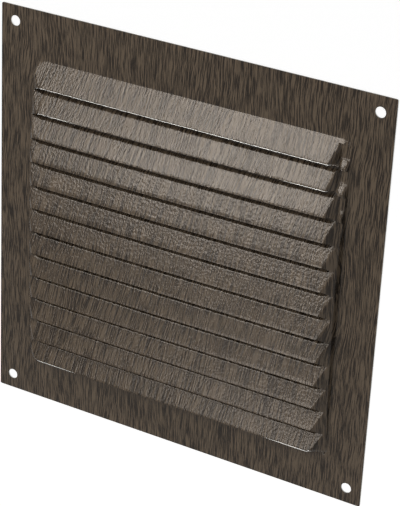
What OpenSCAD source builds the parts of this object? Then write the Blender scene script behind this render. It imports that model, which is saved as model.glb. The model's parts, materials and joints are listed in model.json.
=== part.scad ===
// Louvred vent grille: a square metal plate faced with a decor film, its field of louvres
// cut and drawn from the sheet in one pressing. Behind it, strips of foam hold the edge of
// an insect screen and seal the grille against the wall.
// X runs right as seen from the front, Z runs up, and the front faces -Y.
// The origin is the middle of the four fixing holes, on the back face of the plate.

/* [Plate] */
// Width of the plate
plate_w = 200; // [170:5:300]
// Height of the plate
plate_h = 200; // [165:5:300]
// Radius of the plate's four corners
corner_r = 0.8; // [0.3:0.1:3]
// Thickness of the metal sheet
sheet_t = 0.6; // [0.4:0.1:1]
// Thickness of the decor film on the front
film_t = 0.2; // [0.1:0.05:0.3]

/* [Fixing holes] */
// Diameter of the four corner holes
hole_d = 5; // [3.5:0.5:6]
// Distance from a hole's centre to both edges of the plate
hole_inset = 7.5; // [6:0.5:9]

/* [Louvres] */
// Flat border left of and right of the louvre field
side_border = 19; // [16:0.5:30]
// Least flat border above and below the louvre field
end_border = 23.5; // [16:0.1:30]
// Length of the first slat, from the crease at the top of the field to its lip
first_slat = 10.8; // [8:0.1:16]
// Distance from one slit to the next
louvre_pitch = 11.85; // [9:0.05:16]
// Height of a lip over the sheet below its slit
louvre_rise = 6.4; // [3:0.1:9]
// Length of the drawn end that closes a louvre
end_run = 8; // [5:0.5:14]
// Flat steps in the curve of a drawn end
end_steps = 8; // [4:1:12]

/* [Crown] */
// Height that the pressing lifts the middle of the field over the border
field_rise = 4.4; // [0:0.1:7]
// Louvres over which the field climbs to its crown from the top
top_climb = 3.5; // [2:0.5:4]
// Power of the crown's fall to the bottom, where a higher one keeps it level for longer
crown_hold = 4; // [2:0.5:6]

/* [Insect screen] */
// Reach of the screen past the louvre field on every side
screen_overlap = 6; // [5:0.5:8]
// Diameter of the screen's wire
wire_d = 0.4; // [0.2:0.05:0.6]
// Distance from one wire to the next
wire_pitch = 2.5; // [2:0.1:6]
// Clearance round each of the screen's two layers of wire
lay_gap = 0.02; // [0.01:0.01:0.1]

/* [Foam strips] */
// Width of a strip that lies on the edge of the screen
strip_grip = 5; // [3:0.5:5]
// Width of a strip that sticks to the plate outside the screen
strip_foot = 2.5; // [2:0.5:3]
// Thickness of a strip, from the plate to the wall
strip_t = 1.6; // [1.6:0.1:3]

/* [Hidden] */

$fn = 32;
// Slack that keeps a whole number of pitches whole
round_slack = 0.001;
// How far a cutting solid runs past the face that it cuts
cut_past = 1;

louvre_n = 1 + floor((plate_h - 2 * end_border - first_slat) / louvre_pitch + round_slack);
field_w = plate_w - 2 * side_border;
field_h = first_slat + (louvre_n - 1) * louvre_pitch;
field_top = field_h / 2;

screen_w = field_w + 2 * screen_overlap;
screen_h = field_h + 2 * screen_overlap;
warp_y = lay_gap + wire_d / 2;
weft_y = warp_y + wire_d + lay_gap;
screen_t = weft_y + wire_d / 2 + lay_gap;

// Smooth step from 0 to 1
function ease(x) = let (c = min(1, max(0, x))) c * c * (3 - 2 * c);

// Height of the sheet at slit k, with slit 0 the crease at the top of the field
function crown(k) = field_rise * ease(k / top_climb) * (1 - pow(k / louvre_n, crown_hold));

// Height of lip k, with the first lip over slit 1
function lip_height(k) = crown(k) + louvre_rise;

// Level of slit k
function slit_z(k) = field_top - (k == 0 ? 0 : first_slat + (k - 1) * louvre_pitch);

// Angles of the steps of one drawn end, which is a quarter of an ellipse
end_angles = [for (i = [0:end_steps]) 90 * i / end_steps];

// Cylinders that cut the four fixing holes through a layer with these front and back faces
module fixing_hole_cutters(front, back) {
    for (x = [-1, 1], z = [-1, 1])
        translate([x * (plate_w / 2 - hole_inset), back + cut_past, z * (plate_h / 2 - hole_inset)])
            rotate([90, 0, 0])
                cylinder(h = back - front + 2 * cut_past, d = hole_d);
}

// Box in the middle of the plate, between two distances behind the plate's back face
module middle_box(width, height, near, far) {
    translate([-width / 2, near, -height / 2]) cube([width, far - near, height]);
}

// Outline of the plate, seen from the front
module plate_outline() {
    square([plate_w - 2 * corner_r, plate_h], center = true);
    square([plate_w, plate_h - 2 * corner_r], center = true);
    for (x = [-1, 1], z = [-1, 1])
        translate([x * (plate_w / 2 - corner_r), z * (plate_h / 2 - corner_r)])
            circle(r = corner_r);
}

// Flat plate whose back face lies a distance back in front of the wall
module flat_plate(back, thickness) {
    translate([0, -back, 0])
        rotate([90, 0, 0])
            linear_extrude(thickness) plate_outline();
}

// Louvre in section: the slat climbs from slit k to the lip over the next slit
module slat_section(k) {
    polygon([
        [cut_past, slit_z(k)],
        [-crown(k), slit_z(k)],
        [-lip_height(k + 1), slit_z(k + 1)],
        [cut_past, slit_z(k + 1)]
    ]);
}

// Louvre in plan: rounded drawn ends that climb to this height at both sides of the field
module end_section(height, reach) {
    polygon([
        [-reach, cut_past],
        for (a = end_angles) [-reach + end_run * (1 - cos(a)), -height * sin(a)],
        for (i = [end_steps:-1:0])
            [reach - end_run * (1 - cos(end_angles[i])), -height * sin(end_angles[i])],
        [reach, cut_past]
    ]);
}

// The space behind a face of the drawn field that lies a distance in front of the wall
module drawn_form(front) {
    reach = field_w / 2 + front;
    translate([0, -front, 0])
        for (k = [0:louvre_n - 1])
            intersection() {
                translate([-reach, 0, 0])
                    rotate([90, 0, 90])
                        linear_extrude(2 * reach) slat_section(k);
                translate([0, 0, slit_z(k + 1)])
                    linear_extrude(slit_z(k) - slit_z(k + 1)) end_section(lip_height(k + 1), reach);
            }
}

// One layer of the pressed plate, with its back face a distance back in front of the wall
module pressed_layer(back, thickness) {
    difference() {
        union() {
            flat_plate(back, thickness);
            intersection() {
                drawn_form(back + thickness);
                middle_box(plate_w, plate_h, -plate_w, -back);
            }
        }
        drawn_form(back);
        fixing_hole_cutters(-back - thickness, -back);
    }
}

// Metal core of the grille, with louvres, drawn ends and fixing holes
module pressed_sheet() {
    color("silver") pressed_layer(0, sheet_t);
}

// Wood-grain film on the front, cut and drawn together with the sheet
module decor_film() {
    color("#574e45") pressed_layer(sheet_t, film_t);
}

// Row of straight parallel wires that stand up, centred on the screen
module wire_row(width, length) {
    count = floor((width - wire_d) / wire_pitch) + 1;
    for (i = [0:count - 1])
        translate([(i - (count - 1) / 2) * wire_pitch, 0, 0])
            cylinder(h = length, d = wire_d, center = true);
}

// Upright wires of the insect screen, next to the plate
module screen_warp_wires() {
    color("gainsboro") translate([0, warp_y, 0]) wire_row(screen_w, screen_h);
}

// Level wires of the insect screen, behind the upright ones
module screen_weft_wires() {
    color("lightgray") translate([0, weft_y, 0])
        rotate([0, 90, 0]) wire_row(screen_h, screen_w);
}

// Foam round the whole edge of the screen, before it is parted into strips
module foam_frame() {
    difference() {
        middle_box(screen_w + 2 * strip_foot, screen_h + 2 * strip_foot, 0, strip_t);
        middle_box(screen_w - 2 * strip_grip, screen_h - 2 * strip_grip, -cut_past, strip_t + cut_past);
        middle_box(screen_w + 2 * lay_gap, screen_h + 2 * lay_gap, -cut_past, screen_t);
        fixing_hole_cutters(0, strip_t);
    }
}

// Strip along the top or bottom edge of the screen, over the whole width of the frame
module level_strip(side) {
    color("dimgray") intersection() {
        foam_frame();
        translate([0, 0, side * (plate_h + screen_h - 2 * strip_grip) / 2])
            middle_box(plate_w, plate_h, 0, strip_t);
    }
}

// Strip along the left or right edge of the screen, between the level strips
module upright_strip(side) {
    color("dimgray") intersection() {
        foam_frame();
        translate([side * (screen_w + strip_foot - strip_grip) / 2, 0, 0])
            middle_box(strip_foot + strip_grip, screen_h - 2 * strip_grip, 0, strip_t);
    }
}

pressed_sheet();
decor_film();
screen_warp_wires();
screen_weft_wires();
level_strip(1);  // foam_top
level_strip(-1);  // foam_bottom
upright_strip(-1);  // foam_left
upright_strip(1);  // foam_right
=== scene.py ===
# %% [markdown]
# A louvred vent grille, step by step. The real one starts as a flat sheet of metal with a
# printed wood-grain film on it. One stroke of a press cuts thirteen slits and draws the strip
# above each slit forward, so that plate, louvres and their closed ends stay one piece of
# metal. This file loads the measured model as a fixed frame and gives it the drawn form, the
# film, the bare edges and the back.

# %% Load the frame
import json
import math

import bmesh
import bpy
from mathutils import Euler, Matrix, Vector


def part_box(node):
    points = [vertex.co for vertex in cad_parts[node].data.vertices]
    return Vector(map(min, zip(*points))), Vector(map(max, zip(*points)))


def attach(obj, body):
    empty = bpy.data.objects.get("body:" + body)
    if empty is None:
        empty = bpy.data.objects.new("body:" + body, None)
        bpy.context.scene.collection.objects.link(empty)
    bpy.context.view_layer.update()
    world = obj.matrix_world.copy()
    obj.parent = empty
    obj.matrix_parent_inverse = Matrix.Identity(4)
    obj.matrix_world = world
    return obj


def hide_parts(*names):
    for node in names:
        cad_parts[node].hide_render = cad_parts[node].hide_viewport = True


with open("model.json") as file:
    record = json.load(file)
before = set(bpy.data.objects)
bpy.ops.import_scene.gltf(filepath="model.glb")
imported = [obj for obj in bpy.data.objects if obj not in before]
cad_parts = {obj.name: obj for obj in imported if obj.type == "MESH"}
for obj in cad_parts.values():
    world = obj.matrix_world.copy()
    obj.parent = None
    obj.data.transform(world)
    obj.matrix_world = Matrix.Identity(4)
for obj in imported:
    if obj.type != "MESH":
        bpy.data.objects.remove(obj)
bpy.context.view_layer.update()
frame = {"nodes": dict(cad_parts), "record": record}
scene = bpy.context.scene
MM = 0.001
print("CAD nodes:", sorted(frame["nodes"]))


# %% [markdown]
# The camera comes first, because everything else is judged through it. The photograph's four
# plate corners fix its place: the lens looks from the right and from above, and is turned a
# little about its own axis. The sensor's long side is the picture's height.

# %% Camera
VIEW_AZIMUTH = math.radians(28.93)
VIEW_ELEVATION = math.radians(25.99)
VIEW_ROLL = math.radians(2.98)
# From the middle of the plate to the lens: right, up and back, along the camera's own axes
LENS_OFFSET = Vector((9.007, 0.393, 924.372)) * MM
LENS_LENGTH = 143.9
SENSOR_SIDE = 36
PICTURE_HEIGHT = 506
# The plate's corners were read at pixel centres, half a pixel off the picture's own frame
HALF_PIXEL = 0.5 / PICTURE_HEIGHT
FARTHEST_SEEN = 50


def film_thickness():
    """The film's lips reach further forward than the metal's by its thickness."""
    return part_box("pressed_sheet")[0].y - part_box("decor_film")[0].y


def add_camera():
    turn = Euler((0, 0, VIEW_AZIMUTH)).to_matrix()
    turn @= Euler((math.radians(90) - VIEW_ELEVATION, 0, 0)).to_matrix()
    turn @= Euler((0, 0, VIEW_ROLL)).to_matrix()
    lens = bpy.data.cameras.new("camera")
    lens.lens = LENS_LENGTH
    lens.sensor_width = SENSOR_SIDE
    lens.shift_x = -HALF_PIXEL
    lens.shift_y = HALF_PIXEL
    lens.clip_end = FARTHEST_SEEN
    camera = bpy.data.objects.new("camera", lens)
    scene.collection.objects.link(camera)
    plate_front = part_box("decor_film")[1].y - film_thickness()
    camera.matrix_world = turn.to_4x4()
    camera.location = Vector((0, plate_front, 0)) + turn @ LENS_OFFSET
    scene.camera = camera
    print("camera at", tuple(round(v, 4) for v in camera.location))


add_camera()


# %% [markdown]
# Node trees are easier to read as sums than as lists of links. A small class wraps a socket,
# so that adding or multiplying two of them adds a Math node, and one method makes every other
# kind of node. The same two classes serve Geometry Nodes and materials.

# %% Arithmetic on sockets
class Socket:
    """An output of a node, on which arithmetic adds Math nodes."""

    def __init__(self, tree, socket):
        self.tree = tree
        self.socket = socket

    def math(self, operation, *others):
        return self.tree.math(operation, self, *others)

    def __add__(self, other):
        return self.math("ADD", other)

    def __radd__(self, other):
        return self.math("ADD", other)

    def __sub__(self, other):
        return self.math("SUBTRACT", other)

    def __rsub__(self, other):
        return self.tree.math("SUBTRACT", other, self)

    def __mul__(self, other):
        return self.math("MULTIPLY", other)

    def __rmul__(self, other):
        return self.math("MULTIPLY", other)

    def __truediv__(self, other):
        return self.math("DIVIDE", other)

    def __rtruediv__(self, other):
        return self.tree.math("DIVIDE", other, self)

    def __neg__(self):
        return self.math("MULTIPLY", -1)

    def __abs__(self):
        return self.math("ABSOLUTE")

    def __lt__(self, other):
        return self.math("LESS_THAN", other)

    def __gt__(self, other):
        return self.math("GREATER_THAN", other)


class Tree:
    """A node tree, with one method that adds any node."""

    def __init__(self, tree):
        self.tree = tree

    def node(self, kind, settings=None, inputs=None, output=0):
        node = self.tree.nodes.new(kind)
        for name, value in (settings or {}).items():
            setattr(node, name, value)
        for key, value in (inputs or {}).items():
            if isinstance(value, Socket):
                self.tree.links.new(value.socket, node.inputs[key])
            else:
                node.inputs[key].default_value = value
        return Socket(self, node.outputs[output]) if len(node.outputs) else None

    def math(self, operation, *values):
        inputs = dict(enumerate(values))
        return self.node("ShaderNodeMath", {"operation": operation}, inputs)

    def clamp(self, value, low=0, high=1):
        return self.node("ShaderNodeClamp", None, {"Value": value, "Min": low, "Max": high})

    def ease(self, value):
        """Smooth step from 0 to 1."""
        settings = {"interpolation_type": "SMOOTHSTEP"}
        return self.node("ShaderNodeMapRange", settings, {"Value": value})

    def smooth_min(self, a, b, blend):
        return self.math("SMOOTH_MIN", a, b, blend)

    def xyz(self, x, y, z):
        return self.node("ShaderNodeCombineXYZ", None, {"X": x, "Y": y, "Z": z})

    def parts(self, vector):
        """The three numbers of a vector."""
        first = self.node("ShaderNodeSeparateXYZ", None, {"Vector": vector})
        return [Socket(self, s) for s in first.socket.node.outputs]


# %% [markdown]
# The sizes that the sheet is drawn to. What the frame holds is read from it: the plate's size,
# the layers' thicknesses, the holes and the height of the crown. The louvre field has its own
# names here, as it has in the model. A lip draws back up from its slit while it is drawn
# forward, because a slat that leans covers less of the plate than a flat one, so the slits lie
# lower than the lips.

# %% Sizes of the sheet
mounts = {m["name"]: m for m in frame["record"]["mounts"]}
holes = mounts["fixing_holes"]["dims"]
plate_low, plate_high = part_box("decor_film")

PLATE_W = plate_high.x - plate_low.x
PLATE_H = plate_high.z - plate_low.z
METAL_T = -plate_high.y
FILM_T = film_thickness()
HOLE_R = holes["hole_r_mm"] * MM
HOLE_INSET = (PLATE_W - holes["spacing_x_mm"] * MM) / 2
CORNER_R = 0.8 * MM

LOUVRES = 13
FIRST_SLAT = 10.8 * MM
PITCH = 11.85 * MM
SIDE_BORDER = 19 * MM
FIELD_W = PLATE_W - 2 * SIDE_BORDER
FIELD_H = FIRST_SLAT + (LOUVRES - 1) * PITCH
LOUVRE_RISE = 6.4 * MM
CROWN_RISE = -plate_low.y - METAL_T - FILM_T - LOUVRE_RISE
# How far a lip draws back from its slit, and how far the sheet below the slit follows it
DRAW_BACK = 2.95 * MM
LAST_DRAW_BACK = 1.2 * MM
CUT_SLIP = 1.6 * MM
FIRST_CUT = FIRST_SLAT + DRAW_BACK
CUT_LENGTH = FIELD_H + LAST_DRAW_BACK
print(f"plate {PLATE_W / MM:.1f} x {PLATE_H / MM:.1f} mm, lips {LOUVRE_RISE / MM:.1f} mm high")
print(f"metal {METAL_T / MM:.2f} mm, film {FILM_T / MM:.2f} mm, crown {CROWN_RISE / MM:.1f} mm")


# %% [markdown]
# The drawn form could be carved by booleans, but its surface then has long thin triangles that
# shade badly. It follows a rule, so Geometry Nodes raise it from a flat grid instead. The
# grid's columns and rows are packed where the form bends: bands of so many cells over so much
# width, counted from one edge of the plate to the other. The slits run along rows and end on
# columns of the grid.

# %% Bands of the grid
FOLD_X = FIELD_W / 2 + METAL_T + FILM_T / 2
SLIT_INSET = 1.3 * MM
END_ZONE = 10 * MM
CREASE_BAND = 0.5 * MM
# How far from a hole's middle the grid is pulled round
HOLE_REACH = 2 * HOLE_R
# Cells over each band, from a corner of the plate inwards
CORNER_CELLS, OUTER_CELLS, HOLE_CELLS, INNER_CELLS = 2, 1, 20, 5
SLIT_INSET_CELLS, END_CELLS, MIDDLE_CELLS = 5, 23, 16
CREASE_ROWS, LOUVRE_ROWS = 3, 18
MIDDLE_LOUVRES = LOUVRES - 2


def cells_in(bands):
    return sum(cells for _, cells in bands)


def border_bands(border):
    """Widths and numbers of cells, from the plate's edge to the louvre field."""
    before_hole = HOLE_INSET - HOLE_REACH
    hole_block = 2 * HOLE_REACH
    return [(CORNER_R, CORNER_CELLS), (before_hole - CORNER_R, OUTER_CELLS),
            (hole_block, HOLE_CELLS), (border - before_hole - hole_block, INNER_CELLS)]


side = border_bands(PLATE_W / 2 - FOLD_X)
slit_column = cells_in(side) + SLIT_INSET_CELLS
side += [(SLIT_INSET, SLIT_INSET_CELLS), (END_ZONE - SLIT_INSET, END_CELLS),
         (FOLD_X - END_ZONE, MIDDLE_CELLS)]
COLUMNS = side + side[::-1]
column_cells = cells_in(COLUMNS)

above = border_bands((PLATE_H - FIELD_H) / 2)
below = border_bands((PLATE_H - FIELD_H) / 2 - LAST_DRAW_BACK)[::-1]
first_slit_row = cells_in(above) + CREASE_ROWS + LOUVRE_ROWS
ROWS = above + [(CREASE_BAND, CREASE_ROWS), (FIRST_CUT - CREASE_BAND, LOUVRE_ROWS),
                (PITCH * MIDDLE_LOUVRES, LOUVRE_ROWS * MIDDLE_LOUVRES),
                (CUT_LENGTH - FIRST_CUT - PITCH * MIDDLE_LOUVRES, LOUVRE_ROWS)] + below
row_cells = cells_in(ROWS)
print("grid of", column_cells, "by", row_cells, "cells")


def spread(tree, line, bands):
    """Distance of a grid line from the plate's edge, from its number."""
    distance = 0
    start = 0
    for width, cells in bands:
        distance = distance + tree.clamp((line - start) / cells) * width
        start += cells
    return distance


# %% [markdown]
# A square grid becomes a round hole when the squares around the hole's middle are pulled onto
# circles: a point keeps its direction and takes as its radius the half width of the square
# that it lies on. The pull fades out two radii away. A plate corner is rounded by the same
# trick.

# %% Round holes and corners
NO_LENGTH = 1e-9


def pull_round(tree, across, up, fade):
    """The factor that moves a point at that offset from square to circle."""
    square = abs(across).math("MAXIMUM", abs(up))
    length = (across * across + up * up).math("SQRT").math("MAXIMUM", NO_LENGTH)
    return 1 + (square / length - 1) * fade(square)


def flat_place(tree, column, row):
    """Place of a grid point on the flat sheet, from its numbers from the left and the top."""
    x = spread(tree, column, COLUMNS) - PLATE_W / 2
    z = PLATE_H / 2 - spread(tree, row, ROWS)
    side_x, side_z = x.math("SIGN"), z.math("SIGN")
    hole_x, hole_z = PLATE_W / 2 - HOLE_INSET, PLATE_H / 2 - HOLE_INSET
    across, up = abs(x) - hole_x, abs(z) - hole_z
    fade_band = HOLE_REACH - HOLE_R
    factor = pull_round(tree, across, up, lambda m: tree.clamp((HOLE_REACH - m) / fade_band))
    across, up = across * factor, up * factor
    x, z = side_x * (across + hole_x), side_z * (up + hole_z)
    corner_x, corner_z = PLATE_W / 2 - CORNER_R, PLATE_H / 2 - CORNER_R
    across, up = abs(x) - corner_x, abs(z) - corner_z
    in_corner = (across > 0) * (up > 0)
    factor = pull_round(tree, across, up, lambda m: in_corner)
    return side_x * (across * factor + corner_x), side_z * (up * factor + corner_z)


# %% [markdown]
# The whole field stands on a crown, because cutting and drawing the louvres stretches the
# sheet. It climbs over the first louvres, holds, and falls to the bottom and towards the sides.
# The field's outline has rounded corners, wide on top and tight at the bottom.

# %% Crown and outline of the louvre field
TOP_CLIMB = 3.5
CROWN_HOLD = 4
CROWN_MIDDLE = -25 * MM
CROWN_FALL = 0.27
TOP_CORNER = 6 * MM
BOTTOM_CORNER = 2 * MM


def crown(tree, slit, x):
    """Height of the crown at a slit, with number 0 at the crease on top of the field."""
    climb = tree.ease(slit / TOP_CLIMB) * (1 - (slit / LOUVRES).math("POWER", CROWN_HOLD))
    off_middle = (x - CROWN_MIDDLE) / (FIELD_W / 2)
    return climb * (1 - off_middle * off_middle * CROWN_FALL) * CROWN_RISE


def corner_inset(tree, distance, radius):
    """How far a rounded corner draws the field's side in, at a distance from its end."""
    left = tree.clamp(1 - distance / radius)
    return (1 - (1 - left * left).math("SQRT")) * radius


def reach_in(tree, x, down):
    """Distance from the field's side, negative outside it, so far down from the crease."""
    inset = corner_inset(tree, down, TOP_CORNER)
    inset = inset + corner_inset(tree, CUT_LENGTH - down, BOTTOM_CORNER)
    return FOLD_X - abs(x) - inset


# %% [markdown]
# Down a louvre, the slat climbs from the slit above it to its own lip. Just under the lip
# above, the sheet is bent back to the plate, and shows as a dark line. Towards its ends the
# slat meets a ramp, which runs down from the lip to the crown, and a steep wall from there to
# the border. The lowest of them wins, with a soft fold between them. On the right of the first
# louvres the ramps start further in, with a small dome beside each slit. Lower down on that
# side they sag.

# %% Ends of the louvres
WALL_SLOPE = 3.0
WALL_FOOT = 0.5 * MM
RAMP_START = -1.3 * MM
RAMP_END = 6.0 * MM
RAMP_TOP_BLEND = 0.2
# What the ramps on the right of the first louvres have over the others, and for how many rows
FIRST_RAMPS_IN = 6.4 * MM
FIRST_RAMPS_OUT = 2.2 * MM
FIRST_ROWS = 4.5
LATE_RAMP_SAG = 0.6
# The dome's height, its place and half width from the field's side, and the same up the slat
DOME_RISE = 2.4 * MM
DOME_IN = 3.0 * MM
DOME_WIDTH = 2.6 * MM
DOME_ABOVE = 1.4 * MM
DOME_LENGTH = 2.5 * MM


def bell(value):
    return (-(value * value)).math("EXPONENT")


def dome_beside_slit(down, reach):
    """Height of the small dome that the press leaves above a slit's end."""
    slits = (down - FIRST_CUT) / PITCH
    above = (1 - (slits - slits.math("FLOOR"))) * PITCH
    off_middle = (reach - DOME_IN) / DOME_WIDTH
    return bell(off_middle * off_middle) * bell((above - DOME_ABOVE) / DOME_LENGTH) * DOME_RISE


def ramp_height(tree, x, down, reach):
    """Height of the ramp from the crown up to the lip."""
    place = 1 + ((down - FIRST_SLAT) / PITCH).math("MAXIMUM", 0)
    lip = crown(tree, place, x) + LOUVRE_RISE
    late = tree.ease((place - 1) / FIRST_ROWS) * (x > 0)
    early = (x > 0) - late
    start = RAMP_START + early * FIRST_RAMPS_IN
    run = RAMP_END + early * FIRST_RAMPS_OUT - start
    climbed = tree.smooth_min((reach - start).math("MAXIMUM", 0) / run, 1, RAMP_TOP_BLEND)
    climbed = climbed.math("POWER", 1 + late * LATE_RAMP_SAG)
    return lip - LOUVRE_RISE * (1 - climbed) + dome_beside_slit(down, reach) * early


def wall_height(reach):
    """Height of the steep wall, with a small round foot on the border."""
    inside = reach.math("MAXIMUM", 0)
    return ((inside * inside + WALL_FOOT ** 2).math("SQRT") - WALL_FOOT) * WALL_SLOPE


# %% Height of the drawn sheet
LIP_FULL_AT = 6.5 * MM
LEDGE = 3.26 * MM
LEDGE_SLOPE = 2.6
FOLD_AT_SLIT = 0.8 * MM
FOLD_AT_LIP = 1.0 * MM
# The first slat has no lip above it, so its ledge is put out of the way
FAR_FORWARD = 1


def drawn_place(tree, down, reach, louvre):
    """How far down a point lies once it is drawn, its share of the way down its louvre to the
    lip, and its share of a slit's full opening, which closes towards the field's sides."""
    later = louvre > 0.5
    start = later * (FIRST_CUT + (louvre - 1) * PITCH)
    stop = (FIRST_CUT + louvre * PITCH).math("MINIMUM", CUT_LENGTH)
    along = tree.clamp((down - start) / (stop - start))
    back = stop - (FIRST_SLAT + louvre * PITCH)
    lift = tree.ease((reach - SLIT_INSET) / (LIP_FULL_AT - SLIT_INSET))
    slip = (1 - along) * later * CUT_SLIP
    return down - (along * back + slip) * lift, along, lift


def slat_height(tree, x, down, lift, louvre):
    """Height of the slat between its slit and its lip."""
    start = (louvre > 0.5) * (FIRST_SLAT + (louvre - 1) * PITCH)
    length = PITCH + (louvre < 0.5) * (FIRST_SLAT - PITCH)
    low, high = crown(tree, louvre, x), crown(tree, louvre + 1, x) + LOUVRE_RISE
    slat = low + (high - low) / length * (down - start)
    ledge = slat - (LEDGE * lift - (down - start)) * LEDGE_SLOPE
    return slat.math("MINIMUM", ledge + (louvre < 0.5) * FAR_FORWARD)


def sheet_height(tree, x, down, along, lift, reach, louvre):
    """Height of the sheet over the flat plate, on the louvre with that number."""
    slat = slat_height(tree, x, down, lift, louvre)
    end = tree.smooth_min(wall_height(reach), ramp_height(tree, x, down, reach), FOLD_AT_SLIT)
    fold = FOLD_AT_SLIT + (FOLD_AT_LIP - FOLD_AT_SLIT) * along
    return tree.smooth_min(slat, end, fold).math("MAXIMUM", 0)


# %% [markdown]
# On some of the lips the film has split off and leaves a bright bare strip: all along the
# first, and near the ends of the second and the last.

# %% Bare lips
BARE_SIDES = 42 * MM
BARE_FADE = 20 * MM
BARE_IN = 6.8 * MM
LAST_BARE_IN = 4.5 * MM
LAST_BARE_SHARE = 1.5


def bare_lip(tree, x, reach, louvre):
    """1 where the film has drawn back from a lip, and a little more on the last."""
    near_end = tree.ease((abs(x) - BARE_SIDES) / BARE_FADE)
    first, second, last = [abs(louvre - n) < 0.5 for n in (0, 1, LOUVRES - 1)]
    bare_from = BARE_IN + (louvre > LOUVRES - 1.5) * (LAST_BARE_IN - BARE_IN)
    short_of_end = tree.ease((reach - bare_from) / SLIT_INSET)
    return (first + (second + last * LAST_BARE_SHARE) * near_end) * short_of_end


# %% [markdown]
# Every tree of this file has named inputs for its sizes and ends in a plain mesh in one
# material. Growing a tree sets its sizes on a modifier by each input's identifier, and keeps
# the result as an ordinary mesh.

# %% Trees that grow a mesh
def new_group(name, inputs):
    """A tree with these inputs, given by name and kind, and a socket for each of them."""
    group = bpy.data.node_groups.new(name, "GeometryNodeTree")
    face = group.interface
    face.new_socket("Mesh", in_out="OUTPUT", socket_type="NodeSocketGeometry")
    for label, kind in inputs.items():
        face.new_socket(label, in_out="INPUT", socket_type="NodeSocket" + kind)
    tree = Tree(group)
    sockets = group.nodes.new("NodeGroupInput").outputs
    return tree, [Socket(tree, sockets[label]) for label in inputs]


def end_group(tree, mesh, material):
    mesh = tree.node("GeometryNodeSetShadeSmooth", None, {"Geometry": mesh})
    mesh = tree.node("GeometryNodeRealizeInstances", None, {"Geometry": mesh})
    mesh = tree.node("GeometryNodeSetMaterial", None, {"Geometry": mesh, "Material": material})
    tree.node("NodeGroupOutput", None, {"Mesh": mesh})
    return tree.tree


def grow(name, group, sizes):
    """Runs a tree and returns its result as an object with a plain mesh."""
    piece = bpy.data.objects.new(name, bpy.data.meshes.new(name))
    scene.collection.objects.link(piece)
    modifier = piece.modifiers.new("tree", "NODES")
    modifier.node_group = group
    for item in group.interface.items_tree:
        if item.name in sizes:
            modifier[item.identifier] = sizes[item.name]
    view = bpy.context.evaluated_depsgraph_get()
    mesh = bpy.data.meshes.new_from_object(piece.evaluated_get(view))
    piece.modifiers.clear()
    piece.data = mesh
    mesh.name = name
    triangles = sum(len(p.vertices) - 2 for p in mesh.polygons)
    print(name, "has", triangles, "triangles")
    return piece


def stand_for(piece, node):
    """Makes a piece ride on the grille's one body, in place of a node of the model."""
    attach(piece, "root")
    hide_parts(node)


# %% [markdown]
# Now the pressed layer's own tree. It numbers the faces by louvre, splits the edges along the
# slits so that a lip can leave the slat below it, sets the heights, and then gives the layer
# its thickness straight through the sheet, as the press does. Metal and film are the same tree
# with other sizes.

# %% Tree of one pressed layer
SHARP_ANGLE = math.radians(30)
SAME_PLACE = 1e-7
ROUNDING = 1e-6
ON_LINE = 0.01


def store(tree, mesh, name, value):
    """Keeps a value of every face under a name."""
    settings = {"data_type": "FLOAT", "domain": "FACE"}
    return tree.node("GeometryNodeStoreNamedAttribute", settings, {
        "Geometry": mesh, "Name": name, "Value": value})


def move(tree, mesh, place):
    return tree.node("GeometryNodeSetPosition", None, {"Geometry": mesh, "Position": place})


def on_slit(tree, position):
    """1 on the slits' grid points, while their place is still their column and row."""
    column, row, _ = tree.parts(position)
    louvre = (row - first_slit_row) / LOUVRE_ROWS
    in_field = (louvre > -ON_LINE) * (louvre < LOUVRES - 1 + ON_LINE)
    in_reach = (column > slit_column - 0.5) * (column < column_cells - slit_column + 0.5)
    return (abs(louvre - louvre.math("ROUND")) < ON_LINE) * in_field * in_reach


def flat_sheet(tree, place):
    """The flat plate with its four holes, split along the slits."""
    grid = tree.node("GeometryNodeMeshGrid", None, {
        "Size X": column_cells, "Size Y": row_cells,
        "Vertices X": column_cells + 1, "Vertices Y": row_cells + 1})
    x, y, _ = tree.parts(place)
    sheet = move(tree, grid, tree.xyz(x + column_cells / 2, row_cells / 2 - y, 0))
    column, row, _ = tree.parts(place)
    number = ((row - first_slit_row) / LOUVRE_ROWS).math("FLOOR") + 1
    sheet = store(tree, sheet, "louvre", tree.clamp(number, 0, LOUVRES))
    ends = tree.node("GeometryNodeInputMeshEdgeVertices").socket.node.outputs
    start, stop = [Socket(tree, ends[name]) for name in ("Position 1", "Position 2")]
    sheet = tree.node("GeometryNodeSplitEdges", None, {
        "Mesh": sheet, "Selection": on_slit(tree, start) * on_slit(tree, stop)})
    x, z = flat_place(tree, column, row)
    sheet = move(tree, sheet, tree.xyz(x, 0, z))
    x, _, z = tree.parts(place)
    across, up = abs(x) - (PLATE_W / 2 - HOLE_INSET), abs(z) - (PLATE_H / 2 - HOLE_INSET)
    in_hole = (across * across + up * up).math("SQRT") < HOLE_R
    return tree.node("GeometryNodeDeleteGeometry", {"domain": "FACE"}, {
        "Geometry": sheet, "Selection": in_hole})


def drawn_sheet(tree, sheet, place, back, bare):
    """The flat plate drawn into louvres, with its back so far in front of the wall."""
    louvre = tree.node("GeometryNodeInputNamedAttribute", {"data_type": "FLOAT"}, {
        "Name": "louvre"})
    x, _, z = tree.parts(place)
    down = FIELD_H / 2 - z
    in_field = (down > 0) * (down < CUT_LENGTH + ROUNDING) * (louvre < LOUVRES - 0.25)
    reach = reach_in(tree, x, down)
    drawn, along, lift = drawn_place(tree, down, reach, louvre)
    height = sheet_height(tree, x, drawn, along, lift, reach, louvre) * in_field
    drawn = drawn - along * (bare * bare_lip(tree, x, reach, louvre))
    down = down + (drawn - down) * in_field
    return move(tree, sheet, tree.xyz(x, -(height + back), FIELD_H / 2 - down))


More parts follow.
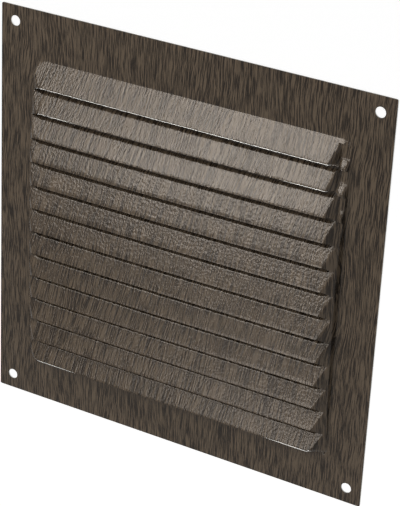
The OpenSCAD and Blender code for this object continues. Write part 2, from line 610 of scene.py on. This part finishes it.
def layer_tree(material):
    tree, (back, thickness, bare) = new_group("pressed_layer", {
        "Back": "Float", "Thickness": "Float", "Bare Strip": "Float"})
    place = tree.node("GeometryNodeInputPosition")
    sheet = drawn_sheet(tree, flat_sheet(tree, place), place, back, bare)
    front = tree.node("GeometryNodeExtrudeMesh", {"mode": "FACES"}, {
        "Mesh": sheet, "Offset": tree.xyz(0, -1, 0), "Offset Scale": thickness,
        "Individual": False})
    rear = tree.node("GeometryNodeFlipFaces", None, {"Mesh": sheet})
    rear = store(tree, rear, "rear", 1.0)
    both = tree.node("GeometryNodeJoinGeometry", None, {"Geometry": front})
    tree.tree.links.new(rear.socket, both.socket.node.inputs[0])
    solid = tree.node("GeometryNodeMergeByDistance", None, {
        "Geometry": both, "Distance": SAME_PLACE})
    angle = tree.node("GeometryNodeInputMeshEdgeAngle")
    settings = {"data_type": "BOOLEAN", "domain": "EDGE"}
    solid = tree.node("GeometryNodeStoreNamedAttribute", settings, {
        "Geometry": solid, "Name": "sharp_edge", "Value": angle > SHARP_ANGLE})
    return end_group(tree, solid, material)


# %% Film and metal
BARE_STRIP = 0.22 * MM
film_paint = bpy.data.materials.new("wood_grain_film")
metal_paint = bpy.data.materials.new("zinc_sheet")

film = grow("wood_grain_film", layer_tree(film_paint),
            {"Back": METAL_T, "Thickness": FILM_T, "Bare Strip": BARE_STRIP})
metal = grow("drawn_metal_sheet", layer_tree(metal_paint), {"Back": 0.0, "Thickness": METAL_T})
stand_for(film, "decor_film")
stand_for(metal, "pressed_sheet")


# %% [markdown]
# Behind the slits lies an insect screen of drawn wire, woven so that each upright wire passes
# in front of one level wire and behind the next. A woven row follows a rule as well: one
# straight curve is instanced on a line of points and made real, and then every point moves
# forward or back by a cosine whose half wave is the distance between two wires. The level
# wires take the opposite sign.

# %% Sizes of the screen
warp_low, warp_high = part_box("screen_warp_wires")
weft_low, weft_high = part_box("screen_weft_wires")
WIRE_PITCH = 2.5 * MM
WIRE_D = warp_high.y - warp_low.y
WIRE_SIDES = 5
STEPS_PER_PITCH = 3
SCREEN_MIDDLE = (warp_low.y + weft_high.y) / 2
WAVE = (weft_low.y - warp_low.y) / 2
WARP_WIRES = round((warp_high.x - warp_low.x - WIRE_D) / WIRE_PITCH) + 1
WEFT_WIRES = round((weft_high.z - weft_low.z - WIRE_D) / WIRE_PITCH) + 1
print(WARP_WIRES, "upright and", WEFT_WIRES, "level wires")


# %% Tree of one row of woven wires
def wire_tree(material, upright):
    tree, (wires, points, length, pitch, wave) = new_group("woven_wires", {
        "Wires": "Int", "Points": "Int", "Length": "Float", "Pitch": "Float", "Wave": "Float"})

    def place(across, along):
        return tree.xyz(across, 0, along) if upright else tree.xyz(along, 0, across)

    line = tree.node("GeometryNodeCurvePrimitiveLine", None, {
        "Start": place(0, -(length / 2)), "End": place(0, length / 2)})
    line = tree.node("GeometryNodeResampleCurve", None, {"Curve": line, "Count": points})
    starts = tree.node("GeometryNodeMeshLine", None, {
        "Count": wires, "Start Location": place((wires - 1) * pitch * -0.5, 0),
        "Offset": place(pitch, 0)})
    row = tree.node("GeometryNodeInstanceOnPoints", None, {"Points": starts, "Instance": line})
    row = tree.node("GeometryNodeRealizeInstances", None, {"Geometry": row})
    x, _, z = tree.parts(tree.node("GeometryNodeInputPosition"))
    crossing = (x + z) / pitch + (WARP_WIRES + WEFT_WIRES - 2) / 2
    y = SCREEN_MIDDLE + (crossing * math.pi).math("COSINE") * wave
    profile = tree.node("GeometryNodeCurvePrimitiveCircle", None, {
        "Resolution": WIRE_SIDES, "Radius": WIRE_D / 2})
    row = tree.node("GeometryNodeCurveToMesh", None, {
        "Curve": move(tree, row, tree.xyz(x, y, z)), "Profile Curve": profile,
        "Fill Caps": True})
    return end_group(tree, row, material)


def volume(mesh):
    """Volume inside a closed mesh, negative where its faces point inwards."""
    mesh.calc_loop_triangles()
    points = [v.co for v in mesh.vertices]
    return sum(points[a].dot(points[b].cross(points[c])) / 6
               for a, b, c in (t.vertices for t in mesh.loop_triangles))


def weave(name, node, upright, wires, length, wave):
    steps = round(length / WIRE_PITCH * STEPS_PER_PITCH)
    row = grow(name, wire_tree(wire_paint, upright), {
        "Wires": wires, "Points": steps + 1, "Length": length, "Pitch": WIRE_PITCH,
        "Wave": wave})
    if volume(row.data) < 0:
        row.data.flip_normals()
        print(name, "pointed inwards and is turned over")
    stand_for(row, node)


# %% Both rows of wire
wire_paint = bpy.data.materials.new("drawn_wire")
warp_length = warp_high.z - warp_low.z
weft_length = weft_high.x - weft_low.x
weave("woven_upright_wires", "screen_warp_wires", True, WARP_WIRES, warp_length, WAVE)
weave("woven_level_wires", "screen_weft_wires", False, WEFT_WIRES, weft_length, -WAVE)


# %% [markdown]
# Four strips of foam tape hold the screen's edge against the plate and seal the grille on the
# wall. The model has them as sharp blocks with a rebate for the wires. Tape that is cut from a
# roll has soft edges and a face that is never quite level, so each strip is a copy of the
# model's own mesh with its doubles merged, its edges rounded, and its long faces cut into
# short lengths that swell a little. The tape is too thin for a cloth simulation to help.

# %% Foam strips
FOAM_EDGE = 0.25 * MM
FOAM_EDGE_STEPS = 3
FOAM_STEP = 3 * MM
FOAM_SWELL = 0.08 * MM
FOAM_WAVES = 0.9
FOAM_SHARP_ANGLE = math.radians(45)
LEVEL_ANGLE = math.radians(1)
foam_paint = bpy.data.materials.new("closed_cell_foam")


def cut_in_lengths(form, low, high, axis):
    """Cuts a strip across its length every few millimetres."""
    normal = Vector((0, 0, 0))
    normal[axis] = 1
    for i in range(1, round((high[axis] - low[axis]) / FOAM_STEP)):
        cut = Vector((0, 0, 0))
        cut[axis] = low[axis] + i * FOAM_STEP
        everything = form.verts[:] + form.edges[:] + form.faces[:]
        bmesh.ops.bisect_plane(form, geom=everything, plane_co=cut, plane_no=normal,
                               dist=SAME_PLACE)


def softened(node):
    """A copy of a strip of the model, with rounded edges and a slightly uneven back."""
    low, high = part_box(node)
    form = bmesh.new()
    form.from_mesh(frame["nodes"][node].data)
    bmesh.ops.remove_doubles(form, verts=form.verts, dist=ROUNDING)
    bmesh.ops.dissolve_limit(form, angle_limit=LEVEL_ANGLE, verts=form.verts,
                             edges=form.edges)
    bmesh.ops.recalc_face_normals(form, faces=form.faces)
    edges = [e for e in form.edges if e.calc_face_angle(0) > SHARP_ANGLE]
    bmesh.ops.bevel(form, geom=edges, offset=FOAM_EDGE, segments=FOAM_EDGE_STEPS,
                    profile=0.5, affect="EDGES")
    axis = 0 if high.x - low.x > high.z - low.z else 2
    cut_in_lengths(form, low, high, axis)
    for v in form.verts:
        if low.y + FOAM_EDGE < v.co.y:
            swell = (1 + math.sin(v.co[axis] / FOAM_STEP * FOAM_WAVES)) / 2
            v.co.y -= FOAM_SWELL * swell
    return form


def foam_strip(name, node):
    form = softened(node)
    mesh = bpy.data.meshes.new(name)
    form.to_mesh(mesh)
    form.free()
    mesh.materials.append(foam_paint)
    for face in mesh.polygons:
        face.use_smooth = True
    mesh.set_sharp_from_angle(angle=FOAM_SHARP_ANGLE)
    strip = bpy.data.objects.new(name, mesh)
    scene.collection.objects.link(strip)
    stand_for(strip, node)
    print(name, "has", len(mesh.polygons), "faces")


for side_name in ("top", "bottom", "left", "right"):
    foam_strip("foam_strip_" + side_name, "foam_" + side_name)


# %% [markdown]
# The film is printed with fine dark and light streaks on a grey brown, a little wavy, and
# embossed along them, over a fine crinkle that shows where a slat mirrors the light. The
# pattern reads Object coordinates in millimetres, x across and z along the grain, so that it
# runs from the border over the folds into the louvres without a break, as the real print does.

# %% Tools for the materials
def principled(material):
    material.use_nodes = True
    tree = Tree(material.node_tree)
    shader = next(n for n in material.node_tree.nodes if n.type == "BSDF_PRINCIPLED")
    return tree, shader


def grey(value):
    return (value, value, value, 1)


def mix_colours(tree, factor, a, b):
    return tree.node("ShaderNodeMix", {"data_type": "RGBA"}, {0: factor, 6: a, 7: b}, output=2)


def noise(tree, x, z, pattern):
    """Noise that varies over x and z, and not through the sheet. The four numbers of a pattern
    are its scales in a millimetre across and along the grain, its detail and its seed."""
    across, along, detail, seed = pattern
    return tree.node("ShaderNodeTexNoise", {"noise_dimensions": "3D"}, {
        "Vector": tree.xyz(x * across, seed, z * along), "Scale": 1, "Detail": detail,
        "Roughness": 0.5})


def bump(tree, height, depth, strength=1.0):
    return tree.node("ShaderNodeBump", None, {
        "Strength": strength, "Distance": depth, "Height": height})


def in_millimetres(tree):
    """Object coordinates, whose origin and axes are the grille's own."""
    return [v / MM for v in tree.parts(tree.node("ShaderNodeTexCoord", output="Object"))]


def join(tree, shader, **inputs):
    """Links values that vary over the surface to a shader's inputs."""
    for name, value in inputs.items():
        tree.tree.links.new(value.socket, shader.inputs[name.replace("_", " ")])


# %% Material of the film
PORE_DARK = (0.0065, 0.0036, 0.0015, 1)
WARM_LIGHT = (0.0680, 0.0490, 0.0312, 1)
COOL_LIGHT = (0.0650, 0.0485, 0.0332, 1)
FILM_GLEAM = (1, 0.93, 0.86, 1)
FILM_SPECULAR = 0.25
# Patterns of noise, each as its scales across and along the grain, its detail and its seed
LEAN, WANDER, PORES = (0.03, 0.02, 1, 3), (0.25, 0.07, 1, 7), (1.9, 0.075, 3, 11)
FIBRES, TONE, CRINKLE = (4.5, 0.16, 2, 19), (0.12, 0.03, 2, 23), (0.95, 0.85, 1, 31)
# Millimetres by which the grain leans over the plate, and wanders along a streak
LEAN_BY, WANDER_BY = 9, 0.9
# What the patterns add to a streak, its contrast, and how light it is in the middle
PORE_SHARE, FIBRE_SHARE, TONE_SHARE = 0.7, 0.5, 0.12
STREAK_GAIN, STREAK_MIDDLE = 14, 0.48
FILM_ROUGHNESS, LIGHT_SMOOTHER, CRINKLE_ROUGHER = 0.19, 0.04, 0.06
# The emboss, as a depth and as the parts that pores and crinkle have in it
EMBOSS_DEPTH = 0.03 * MM
PORE_EMBOSS, CRINKLE_EMBOSS = 2.4, 4.0


def paint_film():
    tree, shader = principled(film_paint)
    x, _, z = in_millimetres(tree)
    lean, wander = noise(tree, x, z, LEAN) - 0.5, noise(tree, x, z, WANDER) - 0.5
    grain_x = x + lean * LEAN_BY + wander * WANDER_BY
    pores, fibres, tone = [noise(tree, grain_x, z, p) for p in (PORES, FIBRES, TONE)]
    streak = (pores - 0.5) * PORE_SHARE + (fibres - 0.5) * FIBRE_SHARE
    streak = streak + (tone - 0.5) * TONE_SHARE
    light = tree.clamp(streak * STREAK_GAIN + STREAK_MIDDLE)
    ground = mix_colours(tree, tone, WARM_LIGHT, COOL_LIGHT)
    colour = mix_colours(tree, light, PORE_DARK, ground)
    crinkle = noise(tree, x, z, CRINKLE)
    rough = FILM_ROUGHNESS - light * LIGHT_SMOOTHER + (crinkle - 0.5) * CRINKLE_ROUGHER
    emboss = bump(tree, pores * PORE_EMBOSS + crinkle * CRINKLE_EMBOSS, EMBOSS_DEPTH)
    shader.inputs["Specular IOR Level"].default_value = FILM_SPECULAR
    shader.inputs["Specular Tint"].default_value = FILM_GLEAM
    join(tree, shader, Base_Color=colour, Roughness=rough, Normal=emboss)


# %% [markdown]
# The sheet is zinc-coated steel: its front and its cut edges are bright metal with the faint
# crystals of the zinc, and its back has a thin grey primer, a little uneven from the spray.
# One material does all three, because the tree has marked the rear faces.

# %% Material of the metal
ZINC_DARK, ZINC_LIGHT = (0.52, 0.52, 0.51, 1), (0.68, 0.67, 0.64, 1)
PRIMER_DARK, PRIMER_LIGHT = (0.20, 0.205, 0.21, 1), (0.29, 0.295, 0.295, 1)
RUBBED_PRIMER = (0.42, 0.42, 0.41, 1)
CRYSTALS_PER_MM = 0.22
DRAG, SPRAY = (6, 0.6, 2, 41), (0.35, 0.35, 4, 43)
# Where the primer is rubbed: from this much drag, how sharply, and how far at most
RUBBED_FROM, RUBBED_GAIN, RUBBED_MOST = 0.7, 8, 0.5
ZINC_ROUGHNESS, CRYSTAL_ROUGHER, DRAG_ROUGHER, PRIMER_ROUGHER = 0.30, 0.08, 0.1, 0.28
METAL_RELIEF, SPRAY_RELIEF = 0.01 * MM, 2


def paint_metal():
    tree, shader = principled(metal_paint)
    x, y, z = in_millimetres(tree)
    rear = tree.node("ShaderNodeAttribute", {"attribute_name": "rear"}, output=2)
    crystals = tree.node("ShaderNodeTexVoronoi", None, {
        "Vector": tree.xyz(x, y, z), "Scale": CRYSTALS_PER_MM}, output=1)
    crystal, _, _ = tree.parts(crystals)
    drag, spray = noise(tree, x, z, DRAG), noise(tree, x, z, SPRAY)
    zinc = mix_colours(tree, crystal, ZINC_DARK, ZINC_LIGHT)
    primer = mix_colours(tree, spray, PRIMER_DARK, PRIMER_LIGHT)
    rubbed = tree.clamp((drag - RUBBED_FROM) * RUBBED_GAIN) * RUBBED_MOST
    primer = mix_colours(tree, rubbed, primer, RUBBED_PRIMER)
    rough = ZINC_ROUGHNESS + crystal * CRYSTAL_ROUGHER + (drag - 0.5) * DRAG_ROUGHER
    rough = rough + rear * PRIMER_ROUGHER
    relief = bump(tree, drag + spray * rear * SPRAY_RELIEF, METAL_RELIEF)
    join(tree, shader, Base_Color=mix_colours(tree, rear, zinc, primer), Roughness=rough,
         Metallic=1 - rear, Normal=relief)


# %% [markdown]
# The wires are dull aluminium, mottled with a greyer oxide. The foam is black, and its skin is
# a net of tiny closed cells with a little dust on it.

# %% Materials of the wires and the foam
BRIGHT_WIRE, OXIDE = (0.62, 0.62, 0.61, 1), grey(0.42)
OXIDE_PER_MM, OXIDE_FROM, OXIDE_GAIN = 0.9, 0.35, 3
WIRE_ROUGHNESS, OXIDE_ROUGHER = 0.36, 0.2
WIRE_RELIEF, WIRE_RELIEF_STRENGTH = 0.01 * MM, 0.6
FOAM_DARK, FOAM_LIGHT = (0.0085, 0.0085, 0.009, 1), (0.021, 0.021, 0.0205, 1)
FOAM_SPECULAR = 0.35
CELLS_PER_MM, DUST_PER_MM = 4.5, 0.6
# How light the cells' rims and the dust on them are, less what keeps the cells' middles dark
RIM_LIGHT, DUST_LIGHT, LESS_LIGHT = 1.2, 0.4, 0.2
FOAM_ROUGHNESS, DUST_ROUGHER = 0.72, 0.2
CELL_DEPTH = 0.06 * MM


def paint_wire():
    tree, shader = principled(wire_paint)
    oxide = tree.node("ShaderNodeTexNoise", None, {
        "Vector": tree.xyz(*in_millimetres(tree)), "Scale": OXIDE_PER_MM, "Detail": 3})
    dull = tree.clamp((oxide - OXIDE_FROM) * OXIDE_GAIN)
    shader.inputs["Metallic"].default_value = 1
    join(tree, shader, Base_Color=mix_colours(tree, dull, BRIGHT_WIRE, OXIDE),
         Roughness=WIRE_ROUGHNESS + oxide * OXIDE_ROUGHER,
         Normal=bump(tree, oxide, WIRE_RELIEF, WIRE_RELIEF_STRENGTH))


def paint_foam():
    tree, shader = principled(foam_paint)
    place = tree.xyz(*in_millimetres(tree))
    cells = tree.node("ShaderNodeTexVoronoi", None, {"Vector": place, "Scale": CELLS_PER_MM})
    dust = tree.node("ShaderNodeTexNoise", None, {
        "Vector": place, "Scale": DUST_PER_MM, "Detail": 4})
    light = tree.clamp(cells * RIM_LIGHT + dust * DUST_LIGHT - LESS_LIGHT)
    shader.inputs["Specular IOR Level"].default_value = FOAM_SPECULAR
    join(tree, shader, Base_Color=mix_colours(tree, light, FOAM_DARK, FOAM_LIGHT),
         Roughness=FOAM_ROUGHNESS + dust * DUST_ROUGHER,
         Normal=bump(tree, 1 - cells, CELL_DEPTH))


paint_film()
paint_metal()
paint_wire()
paint_foam()


# %% [markdown]
# Each new piece hides the node that it stands for. The hidden nodes get the same finishes, so
# that the model looks right wherever they are shown.

# %% Finishes of the model's own nodes
finishes = {"decor_film": film_paint, "pressed_sheet": metal_paint}
for name, node in frame["nodes"].items():
    paint = finishes.get(name, wire_paint if "wires" in name else foam_paint)
    for place in node.material_slots:
        place.material = paint
    print(name, "is finished as", paint.name)


# %% [markdown]
# The studio: a white world for the camera, and two soft boxes that the slats mirror, a large
# one high on the left for the upper slats and a weaker one low in front for the others. A pale
# floor lies far below.

# %% Soft boxes
BOX_DISTANCE = 1.6


def add_soft_box(name, azimuth, elevation, wide, high, brightness, tint):
    """A soft box that faces the plate, with its direction and its apparent size in degrees."""
    light = bpy.data.lights.new(name, "AREA")
    light.shape = "RECTANGLE"
    light.size = 2 * BOX_DISTANCE * math.tan(math.radians(wide / 2))
    light.size_y = 2 * BOX_DISTANCE * math.tan(math.radians(high / 2))
    light.energy = brightness * math.pi * light.size * light.size_y
    light.color = tint
    lamp = bpy.data.objects.new(name, light)
    scene.collection.objects.link(lamp)
    a, e = math.radians(azimuth), math.radians(elevation)
    away = Vector((math.sin(a) * math.cos(e), -math.cos(a) * math.cos(e), math.sin(e)))
    lamp.location = away * BOX_DISTANCE
    lamp.rotation_euler = away.to_track_quat("Z", "Y").to_euler()
    share = brightness * light.size * light.size_y / BOX_DISTANCE ** 2 / math.pi * -away.y
    print(f"{name} gives the flat border {share:.2f} of a full light")


add_soft_box("key_box", azimuth=-28, elevation=42.5, wide=18.5, high=33, brightness=12.4,
             tint=(1, 0.975, 0.945))
add_soft_box("low_box", azimuth=-11, elevation=9, wide=22, high=18, brightness=8,
             tint=(1, 0.975, 0.95))


# %% World and floor
AMBIENT = 0.45
FLOOR_GLOW = 0.5
FLOOR_DROP = 1.2
FLOOR_HALF = 6
FLOOR_GREY = grey(0.9)
WHITE = grey(1)


def seen_directly(tree):
    """1 for a ray from the camera, also by way of a mirror or glass, and 0 for light."""
    rays = tree.node("ShaderNodeLightPath").socket.node.outputs
    seen = Socket(tree, rays["Is Camera Ray"])
    for name in ("Is Glossy Ray", "Is Transmission Ray"):
        seen = seen.math("MAXIMUM", Socket(tree, rays[name]))
    return seen


world = bpy.data.worlds.new("studio")
scene.world = world
world.use_nodes = True
sky = Tree(world.node_tree)
background = next(n for n in world.node_tree.nodes if n.type == "BACKGROUND")
strength = AMBIENT + seen_directly(sky) * (1 - AMBIENT)
world.node_tree.links.new(strength.socket, background.inputs["Strength"])
background.inputs["Color"].default_value = WHITE

floor_mesh = bpy.data.meshes.new("floor")
corners = [(x * FLOOR_HALF, y * FLOOR_HALF, 0) for x, y in ((-1, -1), (1, -1), (1, 1), (-1, 1))]
floor_mesh.from_pydata(corners, [], [(0, 1, 2, 3)])
floor = bpy.data.objects.new("floor", floor_mesh)
floor.location.z = -FLOOR_DROP
scene.collection.objects.link(floor)
floor_paint = bpy.data.materials.new("floor")
floor_tree, floor_shader = principled(floor_paint)
floor_shader.inputs["Base Color"].default_value = FLOOR_GREY
floor_shader.inputs["Emission Color"].default_value = WHITE
join(floor_tree, floor_shader, Emission_Strength=seen_directly(floor_tree) * FLOOR_GLOW)
floor_mesh.materials.append(floor_paint)

scene.view_settings.view_transform = "Standard"
